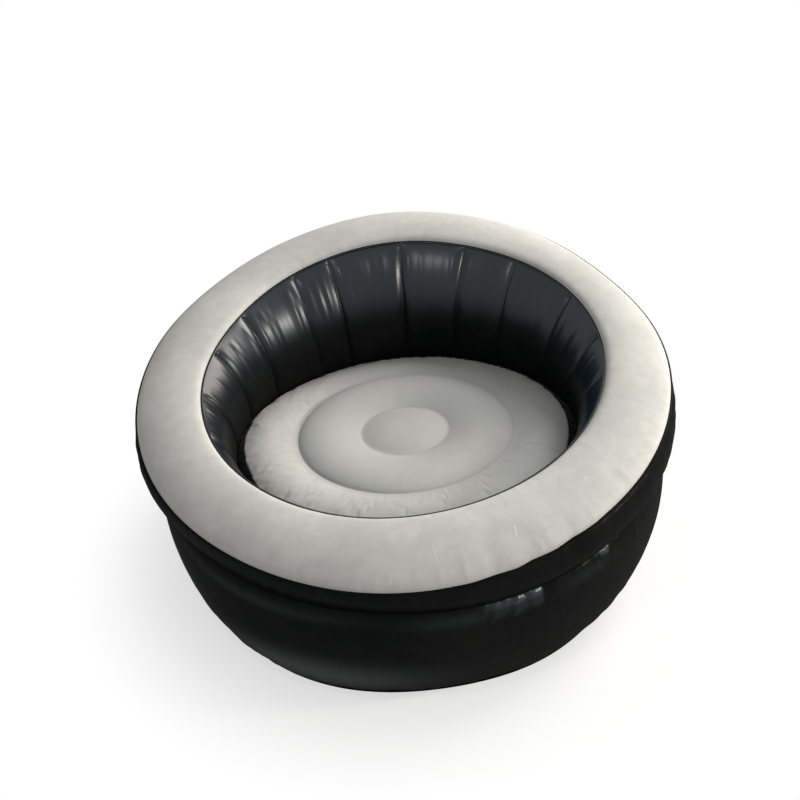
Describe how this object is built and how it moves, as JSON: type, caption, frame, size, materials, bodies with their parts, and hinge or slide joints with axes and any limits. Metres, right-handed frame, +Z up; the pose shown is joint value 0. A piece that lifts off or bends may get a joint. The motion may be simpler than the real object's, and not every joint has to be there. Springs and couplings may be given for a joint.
{
  "type": "inflatable sofa",
  "caption": "Round inflatable sofa: flocked ring-quilted seat in a deep bowl, channelled black vinyl inner wall, flocked rim rising to the back, air valves behind.",
  "frame": {"origin": "on the floor, below the middle of the outer edge of the rim", "axes": "+Z up, +Y towards the high back of the rim, +X to the left of someone who sits in it"},
  "size_m": [1.1384, 1.1416, 0.5264],
  "materials": {
    "black_vinyl": "satin gloss",
    "grey_flock": "flocked matte",
    "valve_plastic": "satin",
    "valve_rubber": "matte"
  },
  "bodies": {
    "sofa": {"bottom_panel": "black_vinyl", "base_side_wall": "black_vinyl", "seat_beam_inner": "black_vinyl", "seat_beam_outer": "black_vinyl", "ring_floor_panel": "black_vinyl", "backrest_inner_wall": "black_vinyl", "backrest_web_01": "black_vinyl", "backrest_web_02": "black_vinyl", "backrest_web_03": "black_vinyl", "backrest_web_04": "black_vinyl", "backrest_web_05": "black_vinyl", "backrest_web_06": "black_vinyl", "backrest_web_07": "black_vinyl", "backrest_web_08": "black_vinyl", "backrest_web_09": "black_vinyl", "backrest_web_10": "black_vinyl", "backrest_web_11": "black_vinyl", "backrest_web_12": "black_vinyl", "backrest_web_13": "black_vinyl", "backrest_web_14": "black_vinyl", "backrest_web_15": "black_vinyl", "backrest_web_16": "black_vinyl", "backrest_web_17": "black_vinyl", "backrest_web_18": "black_vinyl", "backrest_web_19": "black_vinyl", "backrest_web_20": "black_vinyl", "rim_outer_band": "black_vinyl", "seat_panel": "grey_flock", "rim_top_panel": "grey_flock", "base_valve_flange": "valve_plastic", "ring_valve_flange": "valve_plastic"},
    "base_valve_insert": {"base_valve_insert": "valve_plastic"},
    "base_valve_stopper": {"base_valve_stopper": "valve_rubber"},
    "base_valve_flap": {"base_valve_flap": "valve_rubber"},
    "ring_valve_insert": {"ring_valve_insert": "valve_plastic"},
    "ring_valve_stopper": {"ring_valve_stopper": "valve_rubber"},
    "ring_valve_flap": {"ring_valve_flap": "valve_rubber"}
  },
  "joints": [
    {"name": "base_valve_pull", "type": "slide", "parent": "sofa", "child": "base_valve_insert", "axis": [0, 0.9968, -0.0804], "range_m": [0, 0.025]},
    {"name": "base_valve_cap_hinge", "type": "hinge", "parent": "base_valve_insert", "child": "base_valve_stopper", "pos_m": [0, 0.53479, 0.15996], "axis": [-1, 0, 0], "range_deg": [0, 165]},
    {"name": "base_valve_flap_hinge", "type": "hinge", "parent": "base_valve_insert", "child": "base_valve_flap", "pos_m": [0, 0.51478, 0.18666], "axis": [-1, 0, 0], "range_deg": [0, 60], "stiffness_Nm_per_rad": 0.0005},
    {"name": "ring_valve_pull", "type": "slide", "parent": "sofa", "child": "ring_valve_insert", "axis": [0, 0.9651, -0.2619], "range_m": [0, 0.025]},
    {"name": "ring_valve_cap_hinge", "type": "hinge", "parent": "ring_valve_insert", "child": "ring_valve_stopper", "pos_m": [0, 0.55784, 0.33836], "axis": [-1, 0, 0], "range_deg": [0, 165]},
    {"name": "ring_valve_flap_hinge", "type": "hinge", "parent": "ring_valve_insert", "child": "ring_valve_flap", "pos_m": [0, 0.54306, 0.36827], "axis": [-1, 0, 0], "range_deg": [0, 60], "stiffness_Nm_per_rad": 0.0005}
  ]
}
